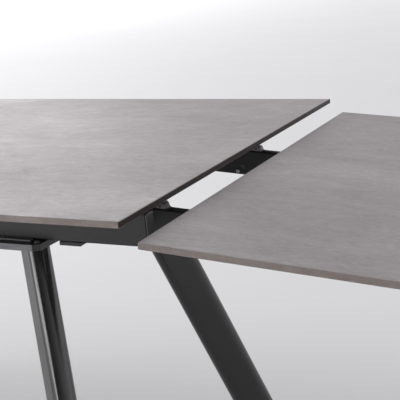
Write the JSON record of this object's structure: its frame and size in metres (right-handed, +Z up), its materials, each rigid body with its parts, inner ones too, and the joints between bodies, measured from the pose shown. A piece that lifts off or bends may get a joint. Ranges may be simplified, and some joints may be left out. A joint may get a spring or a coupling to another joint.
{
  "type": "extendable dining table",
  "caption": "Rectangular dining table with a stone-look ceramic top on splayed flat-oval steel legs, and an end leaf on arms that slides out, tilts and comes up level at each end.",
  "frame": {"origin": "on the floor, under the middle of the main top", "axes": "+X along the table towards the right-hand leaf, +Y across it, +Z up"},
  "size_m": [2.5492, 0.9, 0.76],
  "materials": {
    "ceramic_top": "matt, streaked concrete look",
    "dark_edging": "satin",
    "black_steel": "satin powder coat",
    "black_plastic": "satin",
    "grey_plastic": "satin",
    "grey_nylon": "matt",
    "black_foam": "matt",
    "black_rubber": "matt",
    "bolt_steel": "zinc plated"
  },
  "bodies": {
    "fixed_table": {"base_beam_left": "black_steel", "base_beam_right": "black_steel", "base_rail_back": "black_steel", "base_rail_front": "black_steel", "bonding_tape_back": "black_foam", "bonding_tape_front": "black_foam", "cross_tube_left_inner": "black_steel", "cross_tube_left_outer": "black_steel", "cross_tube_right_inner": "black_steel", "cross_tube_right_outer": "black_steel", "foot_back_left": "black_rubber", "foot_back_right": "black_rubber", "foot_front_left": "black_rubber", "foot_front_right": "black_rubber", "guide_track_back_left": "black_steel", "guide_track_back_right": "black_steel", "guide_track_front_left": "black_steel", "guide_track_front_right": "black_steel", "leg_back_left": "black_steel", "leg_back_right": "black_steel", "leg_front_left": "black_steel", "leg_front_right": "black_steel", "main_top": "ceramic_top", "main_top_strip_left": "dark_edging", "main_top_strip_right": "dark_edging", "rail_block_back_left": "black_steel", "rail_block_back_right": "black_steel", "rail_block_front_left": "black_steel", "rail_block_front_right": "black_steel", "rail_end_cap_back_left": "black_plastic", "rail_end_cap_back_right": "black_plastic", "rail_end_cap_front_left": "black_plastic", "rail_end_cap_front_right": "black_plastic", "side_rail_back": "black_steel", "side_rail_front": "black_steel"},
    "right_carriage": {"guide_shoe_back_right": "grey_nylon", "guide_shoe_front_right": "grey_nylon", "pivot_bolt_back_right": "bolt_steel", "pivot_bolt_front_right": "bolt_steel"},
    "right_leaf": {"arm_catch_back_right": "grey_plastic", "arm_catch_front_right": "grey_plastic", "leaf_arm_back_right": "black_steel", "leaf_arm_front_right": "black_steel", "leaf_batten_right_inner": "black_steel", "leaf_batten_right_outer": "black_steel", "leaf_top_right": "ceramic_top"},
    "left_carriage": {"guide_shoe_back_left": "grey_nylon", "guide_shoe_front_left": "grey_nylon", "pivot_bolt_back_left": "bolt_steel", "pivot_bolt_front_left": "bolt_steel"},
    "left_leaf": {"arm_catch_back_left": "grey_plastic", "arm_catch_front_left": "grey_plastic", "leaf_arm_back_left": "black_steel", "leaf_arm_front_left": "black_steel", "leaf_batten_left_inner": "black_steel", "leaf_batten_left_outer": "black_steel", "leaf_top_left": "ceramic_top"}
  },
  "joints": [
    {"name": "right_leaf_slide", "type": "slide", "parent": "fixed_table", "child": "right_carriage", "axis": [1, 0, 0], "range_m": [-0.02165, 0.18]},
    {"name": "right_leaf_tilt", "type": "hinge", "parent": "right_carriage", "child": "right_leaf", "pos_m": [0.45749, 0, 0.7019], "axis": [0, -1, 0], "range_deg": [0, 4.34]},
    {"name": "left_leaf_slide", "type": "slide", "parent": "fixed_table", "child": "left_carriage", "axis": [-1, 0, 0], "range_m": [-0.02165, 0.18]},
    {"name": "left_leaf_tilt", "type": "hinge", "parent": "left_carriage", "child": "left_leaf", "pos_m": [-0.45749, 0, 0.7019], "axis": [0, 1, 0], "range_deg": [0, 4.34]}
  ]
}
